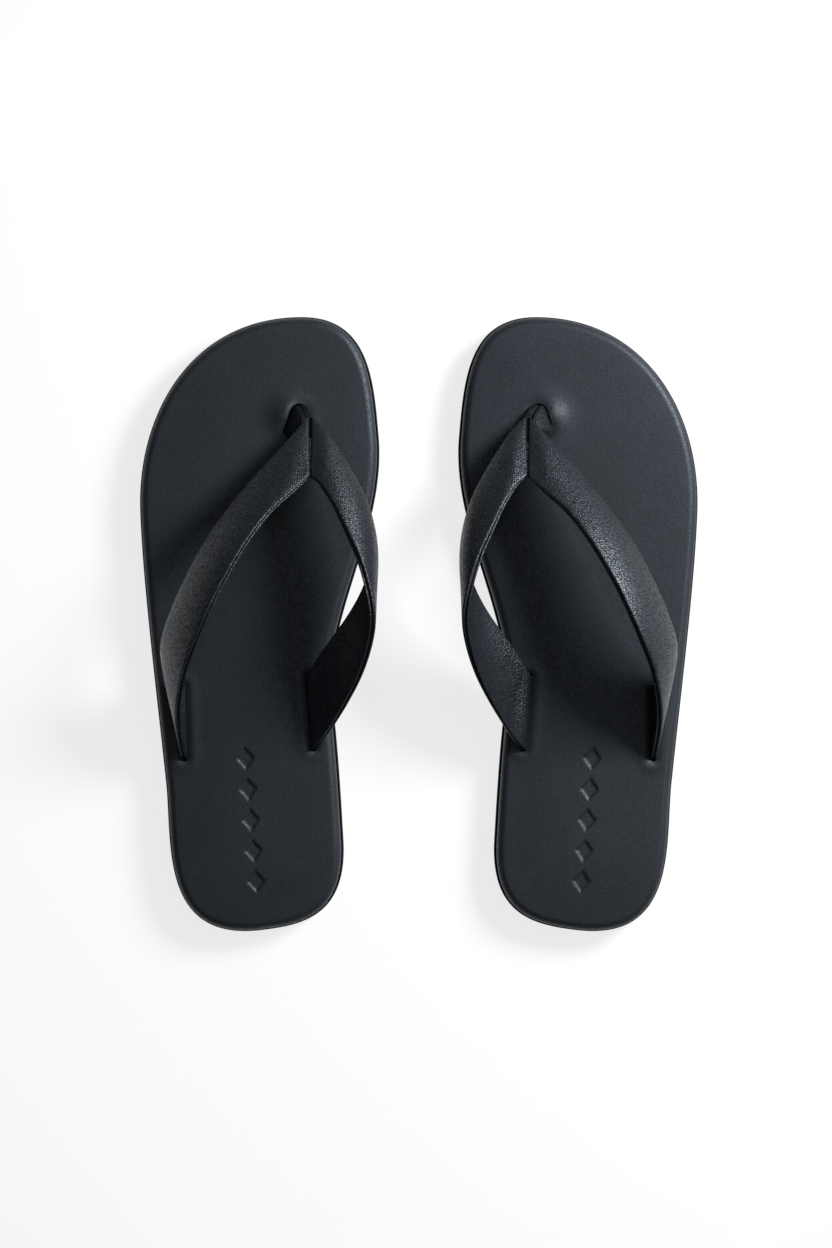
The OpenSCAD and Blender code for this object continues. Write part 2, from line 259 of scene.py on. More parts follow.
def outline_stretch(start, end):
    """Points of the outline from one knot to the next, and the directions inward."""
    a, d = np.array(start[:2], float), np.array(end[:2], float)
    headings = [math.radians(knot[2]) for knot in (start, end)]
    b = a + start[4] * np.array([math.cos(headings[0]), math.sin(headings[0])])
    c = d - end[3] * np.array([math.cos(headings[1]), math.sin(headings[1])])
    length = sum(np.linalg.norm(far - near) for near, far in ((a, b), (b, c), (c, d)))
    count = round(length / OUTLINE_STEP)
    t = np.arange(count)[:, None] / count
    points = (1 - t)**3 * a + 3 * (1 - t)**2 * t * b + 3 * (1 - t) * t**2 * c + t**3 * d
    slope = (1 - t)**2 * (b - a) + 2 * (1 - t) * t * (c - b) + t**2 * (d - c)
    slope /= np.linalg.norm(slope, axis=1, keepdims=True)
    return points, np.stack([slope[:, 1], -slope[:, 0]], axis=1)


def whole_outline():
    ends = OUTLINE[1:] + OUTLINE[:1]
    stretches = [outline_stretch(start, end) for start, end in zip(OUTLINE, ends)]
    return [np.vstack(part) for part in zip(*stretches)]


EDGE, INWARD = whole_outline()


def ring(inset):
    """The outline moved inward."""
    return EDGE + inset * INWARD


def long_hole(a, b, radius, step=HOLE_LOOP_STEP):
    """A loop with round ends about a and b."""
    a, b = np.array(a, float), np.array(b, float)
    along = unit(b - a)
    across = np.array([-along[1], along[0]])
    arc = np.linspace(-math.pi / 2, math.pi / 2, max(8, round(math.pi * radius / step)))[:, None]
    far = b + radius * (np.cos(arc) * along + np.sin(arc) * across)
    near = a - radius * (np.cos(arc) * along + np.sin(arc) * across)
    count = max(2, round(np.linalg.norm(b - a) / step))
    share = np.linspace(0, 1, count + 1)[1:-1, None]
    out, back = a - radius * across, b + radius * across
    return np.vstack([out + share * (b - a), far, back + share * (a - b), near])


def from_segment(points, a, b):
    """Distance of each point from the segment from a to b."""
    a, b = np.array(a, float), np.array(b, float)
    share = np.clip((points - a) @ (b - a) / ((b - a) @ (b - a)), 0, 1)[:, None]
    return np.linalg.norm(points - a - share * (b - a), axis=1)


def from_points(points, others):
    """Distance of each point from the nearest of the others."""
    return np.sqrt(((points[:, None] - others[None]) ** 2).sum(axis=2)).min(axis=1)


def inside(points, loop):
    """Which of the points lie inside the loop."""
    a, b = loop, np.roll(loop, -1, axis=0)
    x, y = points[:, 0, None], points[:, 1, None]
    crosses = (a[:, 1] > y) != (b[:, 1] > y)
    rise = np.where(a[:, 1] == b[:, 1], 1, b[:, 1] - a[:, 1])
    at = a[:, 0] + (y - a[:, 1]) * (b[:, 0] - a[:, 0]) / rise
    return (crosses & (x < at)).sum(axis=1) % 2 == 1


# ---------------------------------------------------------------- meshes


class Shell:
    """The points and faces of one piece, gathered part by part and welded when it is made."""

    def __init__(self):
        self.points = []
        self.faces = []

    def add(self, points, faces):
        first = len(self.points)
        self.points.extend(points)
        self.faces.extend([first + i for i in face] for face in faces)

    def wall(self, loops):
        """Faces between closed loops of equal length."""
        n = len(loops[0])
        quads = [
            (k * n + i, k * n + (i + 1) % n, (k + 1) * n + (i + 1) % n, (k + 1) * n + i)
            for k in range(len(loops) - 1) for i in range(n)
        ]
        self.add(np.vstack(loops), quads)

    def strip_end(self, loop):
        """Closes the end of a band, whose loop runs out along one face and back along the other."""
        n = len(loop)
        self.add(loop, [(i, i + 1, n - 2 - i, n - 1 - i) for i in range(n // 2 - 1)])

    def band(self, loops):
        self.wall(loops)
        self.strip_end(loops[0])
        self.strip_end(loops[-1])

    def fill(self, height, border, holes=(), creases=(), points=()):
        """A surface inside the border and outside the holes, at a height for each point."""
        loops = [border, *holes, *creases]
        flat = np.vstack([*loops, *([points] if len(points) else [])])
        edges, first = [], 0
        for loop in loops:
            edges += [(first + i, first + (i + 1) % len(loop)) for i in range(len(loop))]
            first += len(loop)
        result = delaunay_2d_cdt([Vector(p) for p in flat], edges, [], 1, 1e-5)
        source = [origin[0] for origin in result[3]]
        triangles = np.array([[source[i] for i in face] for face in result[2]])
        centres = flat[triangles].mean(axis=1)
        for hole in holes:
            triangles, centres = (part[~inside(centres, hole)] for part in (triangles, centres))
        self.add(at_height(flat, height), triangles)


def at_height(flat, height):
    """Flat points lifted to a height, which is a number or a function of the points."""
    level = height(flat) if callable(height) else np.full(len(flat), float(height))
    return np.column_stack([flat, level])


def grid(loop, spacing, keep_off):
    """Points in rows inside a loop, clear of the points to keep off."""
    low, high = loop.min(axis=0), loop.max(axis=0)
    x, y = np.meshgrid(
        np.arange(low[0], high[0], spacing), np.arange(low[1], high[1], spacing * 0.87)
    )
    x[1::2] += spacing / 2
    points = np.stack([x.ravel(), y.ravel()], axis=1)
    points = points[inside(points, loop)]
    return points[from_points(points, keep_off) > 0.6 * spacing]


def scatter(border, loops, regions, spacing):
    """Points inside the border, closer together in each region, which is a loop and a spacing."""
    keep_off = np.vstack([border, *loops])
    points = grid(border, spacing, keep_off)
    for region, fine in regions:
        points = points[~inside(points, region)]
        points = np.vstack([points, grid(region, fine, keep_off)])
    return points


def plate(shell, profile, bottom, top, holes=(), creases=(), points=()):
    """A closed layer of the sole. The profile lists insets and heights from the edge of its
    bottom face round its side to the edge of its top face."""
    shell.wall([at_height(ring(inset), height) for inset, height in profile])
    for height, (inset, _) in ((bottom, profile[0]), (top, profile[-1])):
        shell.fill(height, ring(inset), holes, creases, points)
    for hole in holes:
        shell.wall([at_height(hole, bottom), at_height(hole, top)])


def mesh_piece(name, shell, side, material):
    """The shell as one shoe's piece."""
    points = np.array(shell.points) + (SHOE_OFFSET, 0, 0)
    mesh = bpy.data.meshes.new(name)
    mesh.from_pydata(points * (side * MM, MM, MM), [], shell.faces)
    work = bmesh.new()
    work.from_mesh(mesh)
    bmesh.ops.remove_doubles(work, verts=work.verts, dist=0.001 * MM)
    bmesh.ops.recalc_face_normals(work, faces=work.faces)
    work.to_mesh(mesh)
    work.free()
    mesh.shade_smooth()
    mesh.set_sharp_from_angle(angle=math.radians(50))
    mesh.materials.append(material)
    piece = bpy.data.objects.new(name, mesh)
    bpy.context.scene.collection.objects.link(piece)
    return piece


def pair(name, shell, material, nodes, bend=None, body="toe"):
    """Makes the piece for both shoes, in place of the CAD nodes. With a bend it stays in place
    on no body, and without a bend it rides on the body."""
    made = []
    for shoe, side in SIDES.items():
        piece = mesh_piece(f"{shoe}_{name}", shell, side, material)
        if bend:
            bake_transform(piece)
        else:
            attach(piece, f"{shoe}_{body}")
        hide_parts(*(f"{shoe}_{node}" for node in nodes))
        made.append(piece)
    return made


# ---------------------------------------------------------------- materials


class Material:
    """A node material with one principled shader. An input that is a socket is linked."""

    def __init__(self, name, **values):
        self.material = bpy.data.materials.new(name)
        self.material.use_nodes = True
        self.tree = self.material.node_tree
        self.shader = self.tree.nodes["Principled BSDF"]
        self.place = self.add("ShaderNodeTexCoord").outputs["Object"]
        for key, value in values.items():
            self.set(key.replace("_", " ").title().replace("Ior", "IOR"), value)

    def add(self, kind, inputs=None, **settings):
        node = self.tree.nodes.new(kind)
        for key, value in settings.items():
            setattr(node, key, value)
        for key, value in (inputs or {}).items():
            self.put(node.inputs[key], value)
        return node

    def put(self, socket, value):
        if isinstance(value, bpy.types.NodeSocket):
            self.tree.links.new(value, socket)
        else:
            socket.default_value = value

    def set(self, key, value):
        self.put(self.shader.inputs[key], value)

    def noise(self, size, detail=2.0, roughness=0.5):
        """Noise with features of the given size in millimetres."""
        inputs = {"Vector": self.place, "Scale": 1 / (size * MM), "Detail": detail}
        return self.add("ShaderNodeTexNoise", {**inputs, "Roughness": roughness}).outputs["Fac"]

    def math(self, operation, a, b=0.0, c=0.0):
        return self.add("ShaderNodeMath", {0: a, 1: b, 2: c}, operation=operation).outputs[0]

    def spread(self, value, low, high, start=0.3, end=0.7):
        """Maps a value from start to end to a range from low to high."""
        inputs = {"Value": value, "From Min": start, "From Max": end, "To Min": low, "To Max": high}
        return self.add("ShaderNodeMapRange", inputs).outputs["Result"]

    def mix(self, share, a, b):
        node = self.add("ShaderNodeMix", data_type="RGBA")
        for index, value in ((0, share), (6, a), (7, b)):
            self.put(node.inputs[index], value)
        return node.outputs[2]

    def cloudy(self, value, colour, low, high):
        """Base colour that drifts between two shades with the value."""
        self.set("Base Color", self.mix(value, shade(colour, low), shade(colour, high)))

    def bump(self, height, relief, under=None):
        """Bumps of the given relief in millimetres, over any bumps under them."""
        node = self.add("ShaderNodeBump", {"Height": height, "Distance": relief * MM})
        if under:
            self.put(node.inputs["Normal"], under)
        self.set("Normal", node.outputs[0])
        return node.outputs[0]


def shade(colour, factor):
    """The colour made darker or lighter, with the alpha that sockets want."""
    return (*(channel * factor for channel in colour), 1)


# The cool tint of the gloss on leather and rubber
BLUE_GLOSS = (0.8, 0.9, 1.0, 1)


def leather(name, colour, pebble, relief, roughness, specular=0.52, crease_shade_depth=0.62):
    """Grained leather: glossy pebbles, fine pores, cloudy colour, and dull creases darkened in
    colour and gloss as painted shade.
    """
    made = Material(name)
    made.set("Specular Tint", BLUE_GLOSS)
    drift = made.add("ShaderNodeTexNoise", {"Vector": made.place, "Scale": 0.4 / (pebble * MM)})
    warp = made.add("ShaderNodeVectorMath", {0: drift.outputs["Color"]}, operation="SCALE")
    warp.inputs["Scale"].default_value = 0.3 * pebble * MM
    moved = made.add("ShaderNodeVectorMath", {0: made.place, 1: warp.outputs[0]}).outputs[0]
    cell = made.add(
        "ShaderNodeTexVoronoi",
        {"Vector": moved, "Scale": 1 / (pebble * MM), "Randomness": 0.65},
    ).outputs["Distance"]
    pores = made.noise(pebble * 0.3, detail=3)
    cloud = made.noise(28, detail=3)
    height = made.math("MULTIPLY_ADD", pores, 0.35, made.math("SUBTRACT", 1.0, cell))
    soft = made.bump(made.noise(9), 0.05)
    made.bump(height, relief, under=soft)
    tint = made.mix(made.spread(cloud, 0, 1), shade(colour, 0.85), shade(colour, 1.15))
    # Painted shade: the creases between the pebbles darken toward 0.3 of the colour and lose
    # specular
    crease_shade = made.spread(cell, 0, crease_shade_depth, start=0.25, end=0.7)
    made.set("Base Color", made.mix(crease_shade, tint, shade(colour, 0.3)))
    made.set("Specular IOR Level", made.math("MULTIPLY_ADD", crease_shade, -specular, specular))
    gloss = made.spread(made.noise(pebble * 3, detail=3), roughness - 0.05, roughness + 0.06)
    made.set("Roughness", made.math("MULTIPLY_ADD", crease_shade, 0.3, gloss))
    return made.material


def rubber(name, colour):
    """Matte moulded rubber with a fine sparkle and dusty patches."""
    made = Material(name, specular_ior_level=0.2, specular_tint=BLUE_GLOSS)
    dust = made.noise(14, detail=4)
    made.cloudy(made.spread(dust, 0, 1), colour, 0.9, 1.35)
    made.set("Roughness", made.spread(dust, 0.55, 0.72))
    made.bump(made.noise(0.35, detail=3), 0.05, under=made.bump(made.noise(6), 0.08))
    return made.material


def foam(name, colour, cell_size):
    """Closed-cell foam: round cells of mixed size."""
    made = Material(name, specular_ior_level=0.2)
    cell = made.add("ShaderNodeTexVoronoi", {"Vector": made.place, "Scale": 1 / (cell_size * MM)})
    distance = cell.outputs["Distance"]
    made.cloudy(made.spread(distance, 0, 1), colour, 0.7, 1.1)
    made.set("Roughness", made.spread(made.noise(2), 0.8, 0.95))
    made.bump(distance, 0.25)
    return made.material


def fibre_board(name, colour):
    """Pressed fibre with short dark flecks."""
    made = Material(name, specular_ior_level=0.2)
    flecks = made.noise(0.6, detail=5, roughness=0.7)
    made.cloudy(made.spread(flecks, 0, 1), colour, 0.6, 1.2)
    made.set("Roughness", made.spread(made.noise(5), 0.8, 0.95))
    made.bump(flecks, 0.15)
    return made.material


def woven(name, colour, pitch):
    """A plain weave or a twisted thread, with yarns of the given pitch."""
    made = Material(name, specular_ior_level=0.3)
    yarns = [
        made.add(
            "ShaderNodeTexWave",
            {"Vector": made.place, "Scale": 0.16 / (pitch * MM), "Distortion": 0.6},
            bands_direction=direction,
        ).outputs["Fac"]
        for direction in ("X", "Y")
    ]
    height = made.math("MULTIPLY", *yarns)
    made.cloudy(height, colour, 0.6, 1.15)
    made.set("Roughness", made.spread(made.noise(3), 0.65, 0.9))
    made.bump(height, 0.2)
    return made.material


def steel(name, colour):
    """Zinc-plated steel with fine scratches and cloudy plating."""
    made = Material(name, metallic=1.0)
    cloud = made.noise(1.5, detail=4)
    made.cloudy(made.spread(cloud, 0, 1), colour, 0.8, 1.1)
    made.set("Roughness", made.spread(cloud, 0.28, 0.45))
    made.bump(made.noise(0.2, detail=4), 0.02)
    return made.material


def moulded_plastic(name, colour):
    """Moulded nylon with a faint grain."""
    made = Material(name, specular_ior_level=0.4)
    made.cloudy(made.spread(made.noise(8), 0, 1), colour, 0.9, 1.1)
    made.set("Roughness", made.spread(made.noise(2), 0.42, 0.55))
    made.bump(made.noise(0.4, detail=3), 0.04)
    return made.material


# Blue-black of the footbed and the straps, and of the toe post at 0.7 of the straps' as painted
# shade
INK = (0.0110, 0.0133, 0.0172)
STRAP_INK = (0.0082, 0.0100, 0.0135)
SHADED_POST_INK = (0.00574, 0.00700, 0.00945)
MATERIALS = {
    "cover_leather": leather(
        "cover_leather", INK, pebble=0.75, relief=0.04, roughness=0.47, specular=0.42, crease_shade_depth=0.3
    ),
    "strap_leather": leather("strap_leather", STRAP_INK, pebble=0.9, relief=0.16, roughness=0.31),
    # Painted shade: the toe post's leather is a darker, duller copy of the strap leather
    "post_leather": leather(
        "post_leather", SHADED_POST_INK, pebble=0.8, relief=0.1, roughness=0.45, specular=0.25
    ),
    "strap_lining": leather("strap_lining", STRAP_INK, pebble=0.9, relief=0.2, roughness=0.32),
    "rubber": rubber("rubber", (0.0065, 0.0078, 0.0100)),
    "foam": foam("foam", (0.03, 0.031, 0.034), cell_size=0.5),
    "pad": foam("pad", (0.05, 0.05, 0.055), cell_size=0.8),
    "board": fibre_board("board", (0.045, 0.038, 0.032)),
    "tape": woven("tape", (0.05, 0.05, 0.055), pitch=0.5),
    "thread": woven("thread", (0.02, 0.022, 0.025), pitch=0.4),
    "steel": steel("steel", (0.6, 0.6, 0.62)),
    "cord": woven("cord", (0.04, 0.04, 0.045), pitch=0.6),
    "anchor_plastic": moulded_plastic("anchor_plastic", (0.02, 0.02, 0.022)),
}

# ---------------------------------------------------------------- the sole


def lozenge_loop(index, offset, step=0.6):
    """One lozenge's edge, moved outward by offset."""
    half = np.array([LOZENGE_W, LOZENGE_L]) / 2
    grown = half * (1 + offset * np.linalg.norm(half) / np.prod(half))
    corners = np.array([[1, 0], [0, 1], [-1, 0], [0, -1]]) * grown
    count = round(np.linalg.norm(grown) / step)
    share = np.arange(count)[:, None] / count
    sides = [a + share * (b - a) for a, b in zip(corners, np.roll(corners, -1, axis=0))]
    along = (index - (LOZENGES - 1) / 2) * LOZENGE_PITCH
    return turned(np.vstack(sides) + (0, along)) + LOZENGE_CENTRE


def turned(points, sign=1):
    """Points turned with the row of lozenges, or back with sign -1."""
    angle = sign * math.radians(LOZENGE_TILT)
    cos, sin = math.cos(angle), math.sin(angle)
    return points @ np.array([[cos, sin], [-sin, cos]])


def lozenge_dip(points):
    """Depth of the debossed row at each point."""
    local = turned(points - LOZENGE_CENTRE, sign=-1)
    half = np.array([LOZENGE_W, LOZENGE_L]) / 2
    row = np.clip(np.round(local[:, 1] / LOZENGE_PITCH), -(LOZENGES // 2), LOZENGES // 2)
    local[:, 1] -= row * LOZENGE_PITCH
    outside = (np.abs(local / half).sum(axis=1) - 1) * np.prod(half) / np.linalg.norm(half)
    return LOZENGE_DEPTH * smooth(0.5 - outside / (2 * LOZENGE_EDGE))


def hill(distance, width):
    return np.exp(-((distance / width) ** 2))


def footbed_relief(points):
    """Height of the footbed's surface about its level."""
    inward = np.clip((from_points(points, EDGE) - RIM_W - EDGE_R) / DOME_WIDTH, 0, 1)
    relief = DOME_TOP - DOME_DROP * (1 - inward) ** 2 - lozenge_dip(points)
    for name in ("lateral", "medial"):
        a, b, radius = HOLES[name]
        away = from_segment(points, a, b)
        relief -= SLOT_DIP * hill(away - radius, SLOT_DIP_W)
        relief += SLOT_PUFF * hill(away - SLOT_PUFF_AT, SLOT_PUFF_W)
    a, b, radius = HOLES["toe"]
    relief -= TOE_DIP * hill(from_segment(points, a, b) - radius, TOE_DIP_W)
    return relief + TOE_PUFF * hill(np.linalg.norm(points - TOE_PUFF_AT, axis=1), TOE_PUFF_W)


def over(level):
    """Heights that follow the footbed's relief about a level."""
    return lambda points: level + footbed_relief(points)


def footbed_net():
    """Holes, creases and points that carry the footbed's relief."""
    holes = [long_hole(*HOLES[name]) for name in HOLES]
    border = ring(RIM_W + EDGE_R)
    creases = [
        long_hole(a, b, radius + extra, step=HOLE_LOOP_STEP + extra / 2)
        for a, b, radius in HOLES.values() for extra in HOLE_CREASES
    ]
    clear_of_edge = ring(RIM_W + EDGE_R + 0.5)
    creases = [loop for loop in creases if inside(loop, clear_of_edge).all()]
    creases += [
        lozenge_loop(index, offset)
        for index in range(LOZENGES) for offset in (LOZENGE_EDGE, 0, -LOZENGE_EDGE)
    ]
    reach = (LOZENGES / 2) * LOZENGE_PITCH
    row = turned(np.array([[0, -reach], [0, reach]])) + LOZENGE_CENTRE
    regions = [
        (long_hole(a, b, radius + HOLE_REGION), HOLE_STEP) for a, b, radius in HOLES.values()
    ]
    regions.append((long_hole(row[0], row[1], LOZENGE_W / 2 + 1.5), LOZENGE_STEP))
    points = scatter(border, holes + creases, regions, NET_STEP)
    return {"holes": holes, "creases": creases, "points": points}


def make_cover(net):
    """The leather over the footbed, rolled round its edge and tucked in above the outsole."""
    inner = RIM_W + COVER_T + CLEARANCE
    pad_edge = PAD_INSET + CLEARANCE
    fall = DOME_TOP - DOME_DROP
    inside_profile = [
        (pad_edge, Z_PAD + CLEARANCE + fall), (pad_edge, Z_BOARD + CLEARANCE),
        (inner, Z_BOARD + CLEARANCE), (inner, Z_OUTSOLE + 3 * CLEARANCE),
    ]
    tuck = [
        (RIM_W + 0.9, Z_OUTSOLE + CLEARANCE), (RIM_W + 0.45, Z_OUTSOLE + 0.1),
        (RIM_W + 0.15, Z_OUTSOLE + 0.45), (RIM_W, Z_OUTSOLE + 1.1), (RIM_W, Z_OUTSOLE + 3),
    ]
    angles = np.radians(np.arange(0, 91, 7.5))
    edge = [
        (RIM_W + EDGE_R * (1 - math.cos(a)), Z_TOP + fall - EDGE_R * (1 - math.sin(a)))
        for a in angles
    ]
    shell = Shell()
    plate(shell, inside_profile + tuck + edge, over(Z_PAD + CLEARANCE), over(Z_TOP), **net)
    nodes = ["cover_rear", "cover_front"]
    pair("footbed_cover", shell, MATERIALS["cover_leather"], nodes, SOLE_BEND)


def make_pad(net):
    """The foam pad under the cover."""
    shell = Shell()
    top = Z_PAD + DOME_TOP - DOME_DROP
    profile = [
        (PAD_INSET, Z_BOARD + CLEARANCE / 2), (PAD_INSET, top - 0.3),
        (PAD_INSET + 0.1, top - 0.1), (PAD_INSET + 0.4, top),
    ]
    plate(shell, profile, Z_BOARD + CLEARANCE / 2, over(Z_PAD), **net)
    nodes = ["pad_rear", "pad_front"]
    for piece in pair("foam_pad", shell, MATERIALS["pad"], nodes, SOLE_BEND):
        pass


def plain_net(border_inset, holes):
    """A net for a flat hidden layer, fine enough to bend."""
    points = scatter(ring(border_inset), holes, [], HIDDEN_STEP)
    return {"holes": holes, "points": points}


def make_board():
    """The fibre board that the slots and the toe hole go through."""
    inset = RIM_W + COVER_T
    holes = [long_hole(*HOLES[name]) for name in HOLES]
    shell = Shell()
    profile = [
        (inset + 0.2, Z_MIDSOLE + CLEARANCE / 2), (inset, Z_MIDSOLE + 0.2),
        (inset, Z_BOARD - 0.2), (inset + 0.2, Z_BOARD),
    ]
    plate(shell, profile, Z_MIDSOLE + CLEARANCE / 2, Z_BOARD, **plain_net(inset + 0.2, holes))
    nodes = ["board_rear", "board_front"]
    pair("fibre_board", shell, MATERIALS["board"], nodes, SOLE_BEND)


def tail_room(name):
    """The pocket in the midsole under a slot, for the strap's folded tail."""
    strap = STRAPS[name]
    front, rear = (np.array(strap[edge][-1][:2]) for edge in ("front", "rear"))
    out = np.array([strap["side"] * TAIL_SPARE, 0])
    reach = np.array([strap["side"] * (TAIL_L + TAIL_SPARE_END), 0])
    spare = np.array([0, TAIL_SPARE_SIDE])
    corners = [front + out + spare, rear + out - spare, rear - reach - spare, front - reach + spare]
    sides = zip(corners, corners[1:] + corners[:1])
    return np.vstack([a + np.linspace(0, 1, 12)[:-1, None] * (b - a) for a, b in sides])


def make_midsole():
    """The foam midsole, with pockets for the straps' tails and for the toe post's anchor."""
    inset = RIM_W + COVER_T
    low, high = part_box("right_toe_post_anchor")
    anchor = np.array([(low[0] + high[0]) / 2 / MM - SHOE_OFFSET, (low[1] + high[1]) / 2 / MM])
    anchor_r = (high[0] - low[0]) / 2 / MM + 0.4
    turn = np.linspace(0, 2 * math.pi, 48, endpoint=False)[:, None]
    round_pocket = anchor + anchor_r * np.hstack([np.cos(turn), np.sin(turn)])
    pockets = [
        *((tail_room(name), Z_MIDSOLE - TAIL_POCKET_DEPTH) for name in STRAPS),
        (round_pocket, low[2] / MM - 0.1),
    ]
    shell = Shell()
    profile = [
        (inset + 0.3, Z_OUTSOLE + CLEARANCE / 2), (inset, Z_OUTSOLE + 0.3),
        (inset, Z_MIDSOLE - 0.3), (inset + 0.3, Z_MIDSOLE),
    ]
    shell.wall([at_height(ring(inset), height) for inset, height in profile])
    net = plain_net(inset + 0.3, [])
    shell.fill(profile[0][1], ring(inset + 0.3), points=net["points"])
    loops = [loop for loop, _ in pockets]
    shell.fill(Z_MIDSOLE, ring(inset + 0.3), **plain_net(inset + 0.3, loops))
    for loop, floor in pockets:
        shell.wall([at_height(loop, floor), at_height(loop, Z_MIDSOLE)])
        shell.fill(floor, loop)
    nodes = ["midsole_rear", "midsole_front"]
    for piece in pair("foam_midsole", shell, MATERIALS["foam"], nodes, SOLE_BEND):
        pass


def span(loop, y):
    """The lowest and highest x at which a loop crosses the line at y."""
    a, b = loop, np.roll(loop, -1, axis=0)
    crossing = (a[:, 1] > y) != (b[:, 1] > y)
    a, b = a[crossing], b[crossing]
    x = a[:, 0] + (y - a[:, 1]) * (b[:, 0] - a[:, 0]) / (b[:, 1] - a[:, 1])
    return x.min(), x.max()


def groove(y, half_w):
    """The loop of one wavy groove of the tread with round ends."""
    left, right = span(ring(TREAD_BORDER), y)
    left, right = left + GROOVE_HALF_W, right - GROOVE_HALF_W
    x = np.linspace(left, right, round((right - left) / 1.6))
    wave = y + WAVE_HEIGHT * np.sin(2 * math.pi * x / WAVE_LENGTH)
    arc = np.linspace(math.pi / 2, -math.pi / 2, 7)[1:-1]
    right_end = np.stack([right + half_w * np.cos(arc), wave[-1] + half_w * np.sin(arc)], axis=1)
    left_end = np.stack([left - half_w * np.cos(arc), wave[0] - half_w * np.sin(arc)], axis=1)
    upper = np.stack([x, wave + half_w], axis=1)
    lower = np.stack([x, wave - half_w], axis=1)[::-1]
    return np.vstack([upper, right_end, lower, left_end])


def make_outsole():
    """The rubber outsole: a beaded rim above, and a wavy grooved tread below."""
    count = round((EDGE[:, 1].max() - EDGE[:, 1].min()) / TREAD_PITCH)
    rows = [EDGE[:, 1].min() + TREAD_PITCH * i for i in range(2, count - 1)]
    grooves = [(groove(y, GROOVE_HALF_W), groove(y, GROOVE_HALF_W - GROOVE_DRAFT)) for y in rows]
    profile = [*OUTSOLE_FOOT, *((inset, Z_OUTSOLE + height) for inset, height in OUTSOLE_BEAD)]
    foot, top = profile[0][0], profile[-1][0]
    shell = Shell()
    shell.wall([at_height(ring(inset), height) for inset, height in profile])
    mouths = [mouth for mouth, _ in grooves]
    shell.fill(0, ring(foot), **plain_net(foot, mouths))
    shell.fill(Z_OUTSOLE, ring(top), **plain_net(top, []))
    for mouth, roof in grooves:
        shell.wall([at_height(mouth, 0), at_height(roof, TREAD_DEPTH)])
        shell.fill(TREAD_DEPTH, roof)
    nodes = ["outsole_rear", "outsole_front"]
    pair("rubber_outsole", shell, MATERIALS["rubber"], nodes, SOLE_BEND)


# ---------------------------------------------------------------- the straps


def band_section(width, near, far, trim, across=14):
    """Points round a band's section with rounded edges: the way from the band's front edge, and
    the depth. They run out along the near face and back along the far one."""
    radius = 0.45 * (far - near)
    first, last = trim + radius, width - trim - radius
    arc = np.radians([180, 150, 120, 90])
    faces = np.linspace(first, last, across)[1:-1]
    near_half = np.concatenate([
        np.stack([first + radius * np.cos(arc), near + radius - radius * np.sin(arc)], axis=1),
        np.stack([faces, np.full(len(faces), near)], axis=1),
        np.stack([last - radius * np.cos(arc), near + radius - radius * np.sin(arc)], axis=1)[::-1],
    ])
    far_half = near_half[::-1] * (1, -1) + (0, near + far)
    return np.vstack([near_half, far_half])


class Station:
    """One place along a band: the ends of its outer face, the way out, the way on, and crown."""

    def __init__(self, front, rear, out, onward, crown=0.0):
        self.front, self.rear, self.out, self.onward, self.crown = front, rear, out, onward, crown

    def loop(self, near, far, trim):
        """The section's points in place."""
        chord = self.rear - self.front
        width = np.linalg.norm(chord)
        way, depth = band_section(width, near, far, trim).T
        share = way / width
        lift = 4 * share * (1 - share) * self.crown - depth
        return self.front + share[:, None] * chord + lift[:, None] * self.out

    def folded(self, toward, flap, radius=FOLD_R):
        """Stations that fold over from here, starting toward the given direction, and end in a
        flat flap."""
        made = []
        for angle in np.radians([15, 30, 45, 60, 75, 90]):
            out = self.out * math.cos(angle) + toward * math.sin(angle)
            shift = radius * (out - self.out)
            made.append(Station(self.front + shift, self.rear + shift, out, -self.out))
        for share in (0.5, 1):
            shift = radius * (toward - self.out) - self.out * flap * share
            made.append(Station(self.front + shift, self.rear + shift, toward, -self.out))
        return made


def edge_station(front, rear, side, u, crown):
    """The station at u of a band between two edges."""
    step = 0.02
    f, r = through(front, u), through(rear, u)
    last = len(front) - 1
    ahead, behind = min(u + step, last), max(u - step, 0)
    onward = unit(sum(through(edge, ahead) - through(edge, behind) for edge in (front, rear)))
    out = side * unit(np.cross(r - f, onward))
    return Station(f, r, out, onward, crown * max(0, min(1, u, last - 1 - u)))


def strap_edges(strap):
    """A strap's edges in place, with one more point straight down in the slot."""
    edges = []
    for edge in (strap["front"], strap["rear"]):
        points = np.array(edge, float) + (0, 0, Z_TOP)
        below = points[-1] * (1, 1, 0) + (0, 0, Z_MIDSOLE + 0.02)
        edges.append(np.vstack([points, below]))
    return edges


def strap_stations(strap, start):
    """Stations from the seam into the slot."""
    front, rear = strap_edges(strap)
    last = len(front) - 1
    places = np.linspace(start, last, round((last - start) * STRAP_STEPS))
    return [edge_station(front, rear, strap["side"], u, STRAP_CROWN) for u in places]


def make_strap(name):
    """One strap's outer leather, tape and lining."""
    strap = STRAPS[name]
    stations = strap_stations(strap, LEATHER["start"])
    seam = stations[0].folded(-stations[0].onward, SEAM_FLAP)
    mouth = stations[-1]
    mouth.out = strap["side"] * unit(np.cross(mouth.rear - mouth.front, (0, 0, -1)))
    tail = mouth.folded(np.array([0.0, 0.0, -1.0]), TAIL_L)
    leather_shell = Shell()
    sections = [LEATHER[key] for key in ("near", "far", "trim")]
    leather_shell.band([s.loop(*sections) for s in seam[::-1] + stations + tail])
    pair(f"{name}_strap_leather", leather_shell, MATERIALS["strap_leather"],
         [f"{name}_strap"], STRAP_BEND)
    for layer, piece, node, slot in (
        (TAPE, "tape", "core", "tape"), (LINING, "lining_leather", "lining", "strap_lining"),
    ):
        shell = Shell()
        sections = [layer[key] for key in ("near", "far", "trim")]
        shell.band([s.loop(*sections) for s in strap_stations(strap, layer["start"])[:-3]])
        pair(f"{name}_strap_{piece}", shell, MATERIALS[slot], [f"{name}_strap_{node}"],
             STRAP_BEND)


